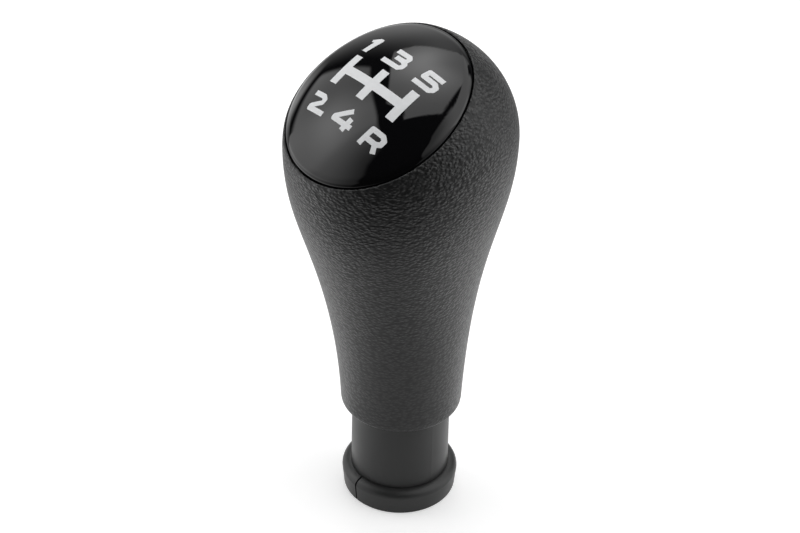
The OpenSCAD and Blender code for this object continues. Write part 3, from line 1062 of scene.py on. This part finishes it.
def overhead_shape(right, back):
    """The overhead softbox from above: its back edge is slanted, and its right edge has a bend."""
    left_edge = OVERHEAD_LEFT - OVERHEAD_LEFT_FLARE * rise(back, *OVERHEAD_LEFT_RUN)
    bend = back - OVERHEAD_BEND
    near, far = line(back, *OVERHEAD_RIGHT_NEAR), line(bend, *OVERHEAD_RIGHT_FAR)
    right_edge = np.where(bend < 0, near, far)
    across = rise(right, left_edge - OVERHEAD_EDGE, left_edge)
    across = across * fall(right, right_edge - OVERHEAD_EDGE, right_edge)
    back_edge = OVERHEAD_BACK - OVERHEAD_BACK_DROP * rise(right, *OVERHEAD_BACK_RUN)
    back_edge = back_edge + OVERHEAD_BACK_FLARE * beyond(right - OVERHEAD_BACK_BEND)
    along = rise(back, *OVERHEAD_FRONT) * fall(back, back_edge, back_edge + OVERHEAD_BACK_EDGE)
    return across * along


def overhead_glow(a, e):
    """The overhead softbox, with a bright ridge that runs back through it."""
    right, back = overhead_plane(a, e)
    ridge = RIDGE_PLACE - RIDGE_SHIFT * rise(back, *RIDGE_BEND)
    bright = hump(right, ridge, np.where(right < ridge, *RIDGE_WIDTHS))
    bright = bright * rise(back, *RIDGE_START) * fall(back, *RIDGE_END, RIDGE_END_SHARE)
    strength = OVERHEAD_LIGHT + RIDGE_LIGHT * bright
    fade = fall(back, *OVERHEAD_FAR, OVERHEAD_FAR_SHARE) * (e > OVERHEAD_LOWEST)
    return strength * overhead_shape(right, back) * fade


def table_glow(a, e):
    """Light that the table throws back, behind the knob on the left and below the left softbox."""
    rear = hump(a, TABLE_REAR + TABLE_REAR_LEAN * e, TABLE_REAR_WIDTH)
    rear = rear * rise(-e, *TABLE_REAR_TOP) * fall(-e, *TABLE_NEAR, TABLE_REAR_SHARE)
    front = TABLE_FRONT + TABLE_FRONT_LEAN * beyond(TABLE_FRONT_TOP - e)
    side = rise(a, *TABLE_SIDE) * fall(a, TABLE_FADE_START, front)
    side = side * fall(e, *TABLE_TOP) * fall(-e, *TABLE_NEAR) * TABLE_SIDE_LIGHT
    return TABLE_LIGHT * (rear + side)


def studio_glow(elevations):
    """The light from each direction, as a grid of elevations by azimuths."""
    e, a = np.meshgrid(elevations, AZIMUTHS, indexing="ij")
    parts = (left_glow, right_glow, side_glow, back_glow, overhead_glow, table_glow)
    return np.max([part(a, e) for part in parts], axis=0)


def make_studio_piece(name, verts, faces, stored, mat):
    """A studio piece whose material reads values stored at each of its points."""
    mesh = bpy.data.meshes.new(name)
    mesh.from_pydata(verts, [], faces)
    for key, values in stored.items():
        mesh.attributes.new(key, "FLOAT", "POINT").data.foreach_set("value", values)
    obj = link_object(name, mesh)
    assign(obj, mat)
    return obj


def stored_value(mat, name):
    return add_node(mat, "ShaderNodeAttribute", attribute_name=name).outputs["Fac"]


def tent_material():
    mat = bpy.data.materials.new("light_tent")
    mat.use_nodes = True
    mat.node_tree.nodes.clear()
    emission = add_node(mat, "ShaderNodeEmission")
    output = add_node(mat, "ShaderNodeOutputMaterial")
    link(mat, stored_value(mat, "glow"), emission.inputs["Strength"])
    link(mat, emission.outputs[0], output.inputs["Surface"])
    return mat


def make_tent():
    """The lamps as one dome, which shines as each point says and is open where none of them is."""
    elevations = np.arange(TENT_LOWEST, ZENITH, TENT_STEP)
    rows, n = len(elevations), len(AZIMUTHS)
    glow = np.append(studio_glow(elevations).ravel(), OVERHEAD_LIGHT)
    centre = Vector((0, 0, TENT_HEIGHT))
    verts = [centre + TENT_RADIUS * studio_direction(a, e) for e in elevations for a in AZIMUTHS]
    verts.append(centre + Vector((0, 0, TENT_RADIUS)))
    last = (rows - 1) * n
    faces = side_faces(rows, n) + [(last + i, last + (i + 1) % n, rows * n) for i in range(n)]
    faces = [f for f in faces if glow[list(f)].max() > ROOM_LIGHT]
    obj = make_studio_piece("light_tent", verts, faces, {"glow": glow}, tent_material())
    obj.visible_camera = False
    obj.visible_shadow = False


def make_world():
    """White for the camera, and a dim room for the rest."""
    world = bpy.data.worlds.new("studio")
    bpy.context.scene.world = world
    world.use_nodes = True
    background = world.node_tree.nodes["Background"]
    path = add_node(world, "ShaderNodeLightPath")
    light = math_node(world, "MAXIMUM", path.outputs["Is Camera Ray"], ROOM_LIGHT)
    link(world, light, background.inputs["Strength"])
    background.inputs["Color"].default_value = (1, 1, 1, 1)


def floor_material():
    """White to the camera; to the rest it is white near the knob, and shines as it is stored."""
    mat = new_material("floor", FLOOR_COLOR, FLOOR_ROUGHNESS, Specular_IOR_Level=0.0)
    path = add_node(mat, "ShaderNodeLightPath")
    seen = path.outputs["Is Camera Ray"]
    white = math_node(mat, "MAXIMUM", seen, stored_value(mat, "near"))
    drive_color(mat, white, FLOOR_FAR_COLOR, FLOOR_COLOR)
    glossy, through = path.outputs["Is Glossy Ray"], path.outputs["Is Transmission Ray"]
    mirrored = math_node(mat, "MAXIMUM", glossy, through)
    mirrored = math_node(mat, "MULTIPLY", mirrored, stored_value(mat, "behind"))
    shown = math_node(mat, "MULTIPLY", math_node(mat, "MAXIMUM", seen, mirrored), FLOOR_GLOW)
    unseen = math_node(mat, "SUBTRACT", 1.0, seen)
    lit = math_node(mat, "MULTIPLY", stored_value(mat, "glow"), unseen)
    principled(mat).inputs["Emission Color"].default_value = (1, 1, 1, 1)
    drive(mat, "Emission Strength", math_node(mat, "ADD", shown, lit))
    return mat


def make_floor():
    """A plain white floor that keeps the knob's shadow, in rings of even steps of elevation."""
    elevations = np.arange(FLOOR_LOWEST, TENT_LOWEST, TENT_STEP)
    rows, n = len(elevations), len(AZIMUTHS)
    reach = [TENT_HEIGHT / math.tan(math.radians(-e)) for e in elevations] + [FLOOR_RADIUS]
    verts = [(0, 0, 0)]
    for r in reach:
        verts += [(r * d.x, r * d.y, 0) for d in (studio_direction(a, 0) for a in AZIMUTHS)]
    near = np.repeat(fall(np.array(reach), *FLOOR_NEAR), n)
    behind = np.tile(rise(np.abs(AZIMUTHS), *FLOOR_BEHIND), rows + 1)
    stored = {
        "glow": np.concatenate([[0], studio_glow(elevations).ravel(), np.zeros(n)]),
        "near": np.concatenate([[1], near]),
        "behind": np.concatenate([[FLOOR_BEHIND_MIDDLE], behind]),
    }
    faces = [(0, 1 + i, 1 + (i + 1) % n) for i in range(n)] + side_faces(rows + 1, n, 1)
    make_studio_piece("floor", verts, faces, stored, floor_material())


def make_camera():
    data = bpy.data.cameras.new("camera")
    data.lens = CAMERA_LENS
    data.sensor_width = SENSOR_WIDTH
    data.clip_start, data.clip_end = CAMERA_CLIP
    camera = link_object("camera", data)
    back = studio_direction(0, math.degrees(CAMERA_ELEVATION))
    right = studio_direction(90, 0)
    aim = Vector((0, 0, AIM_HEIGHT)) - AIM_LEFT * right
    place = Matrix.Translation(aim + CAMERA_DISTANCE * back)
    look = (-back).to_track_quat("-Z", "Y").to_matrix().to_4x4()
    camera.matrix_world = place @ look @ Matrix.Rotation(CAMERA_ROLL, 4, "Z")
    bpy.context.scene.camera = camera


def dress():
    assign(make_grip(), skin_material())
    assign(make_cap(), gloss_material())
    silver = mark_material()
    for mark in make_marks():
        assign(mark, silver)
    assign(make_ring(), plastic_material("ring_plastic", *RING_LOOK))
    assign(make_insert(), metal_material())
    assign(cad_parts["core"], plastic_material("core_plastic", *CORE_LOOK))


dress()
make_world()
make_floor()
make_tent()
make_camera()
bpy.context.scene.view_settings.view_transform = "Standard"
